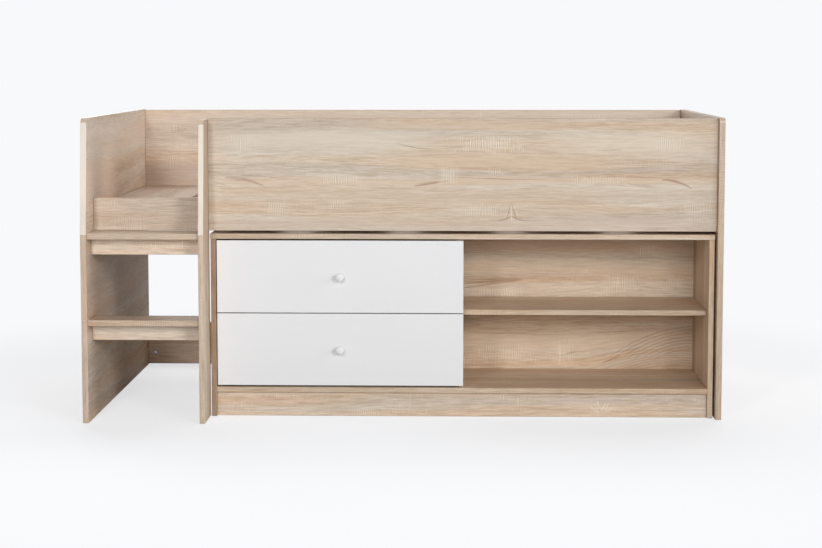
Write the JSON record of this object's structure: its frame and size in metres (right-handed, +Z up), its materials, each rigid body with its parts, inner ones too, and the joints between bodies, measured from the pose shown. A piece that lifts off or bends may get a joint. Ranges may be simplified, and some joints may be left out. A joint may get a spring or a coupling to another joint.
{
  "type": "storage cabin bed",
  "caption": "Low single cabin bed with a step ladder at one end, guard panels round the mattress, and a free-standing chest with drawers and an open shelf bay underneath.",
  "frame": {"origin": "on the floor, under the middle of the bed's length and depth", "axes": "+X along the bed, away from the ladder; +Z up; -Y is the front, where the ladder, the drawers and the open bay are"},
  "size_m": [1.956, 1.08, 0.93],
  "materials": {
    "sonoma_oak": "satin light oak foil with darker grain strokes and pale saw marks",
    "back_panel": "satin printed hardboard",
    "pine": "raw, planed",
    "white_front": "satin white melamine",
    "drawer_box": "matt white foil",
    "white_plastic": "satin moulded",
    "zinc": "bright zinc plate"
  },
  "bodies": {
    "bed_frame": {"end_panel_left": "sonoma_oak", "end_panel_right": "sonoma_oak", "guard_panel_front": "sonoma_oak", "guard_panel_rear": "sonoma_oak", "entry_rail": "sonoma_oak", "ladder_upright": "sonoma_oak", "tread_lower": "sonoma_oak", "tread_upper": "sonoma_oak", "riser_rail_lower": "sonoma_oak", "riser_rail_upper": "sonoma_oak", "rear_lower_rail": "sonoma_oak", "rear_rail_cam_left_lower": "zinc", "rear_rail_cam_left_upper": "zinc", "rear_rail_cam_right_lower": "zinc", "rear_rail_cam_right_upper": "zinc", "rear_rail_bolt_left_lower": "zinc", "rear_rail_bolt_left_upper": "zinc", "rear_rail_bolt_right_lower": "zinc", "rear_rail_bolt_right_upper": "zinc", "slat_ledger_front": "pine", "slat_ledger_rear": "pine", "base_board_1": "sonoma_oak", "base_board_2": "sonoma_oak", "base_board_3": "sonoma_oak", "base_board_4": "sonoma_oak", "base_board_5": "sonoma_oak", "base_board_6": "sonoma_oak"},
    "storage_chest": {"chest_top": "sonoma_oak", "chest_side_left": "sonoma_oak", "chest_side_right": "sonoma_oak", "chest_divider": "sonoma_oak", "chest_bottom": "sonoma_oak", "chest_plinth_front": "sonoma_oak", "chest_plinth_rear": "sonoma_oak", "chest_shelf": "sonoma_oak", "chest_back": "back_panel", "shelf_pin_front_left": "zinc", "shelf_pin_front_right": "zinc", "shelf_pin_rear_left": "zinc", "shelf_pin_rear_right": "zinc", "runner_lower_left": "white_plastic", "runner_lower_right": "white_plastic", "runner_upper_left": "white_plastic", "runner_upper_right": "white_plastic"},
    "drawer_upper": {"drawer_upper_front": "white_front", "drawer_upper_side_left": "drawer_box", "drawer_upper_side_right": "drawer_box", "drawer_upper_back": "drawer_box", "drawer_upper_bottom": "drawer_box", "knob_upper": "white_plastic", "knob_screw_upper": "zinc"},
    "drawer_lower": {"drawer_lower_front": "white_front", "drawer_lower_side_left": "drawer_box", "drawer_lower_side_right": "drawer_box", "drawer_lower_back": "drawer_box", "drawer_lower_bottom": "drawer_box", "knob_lower": "white_plastic", "knob_screw_lower": "zinc"}
  },
  "joints": [
    {"name": "chest_pull_out", "type": "slide", "parent": "bed_frame", "child": "storage_chest", "axis": [0, -1, 0], "range_m": [0, 0.4]},
    {"name": "drawer_upper_slide", "type": "slide", "parent": "storage_chest", "child": "drawer_upper", "axis": [0, -1, 0], "range_m": [0, 0.25]},
    {"name": "drawer_lower_slide", "type": "slide", "parent": "storage_chest", "child": "drawer_lower", "axis": [0, -1, 0], "range_m": [0, 0.25]}
  ]
}
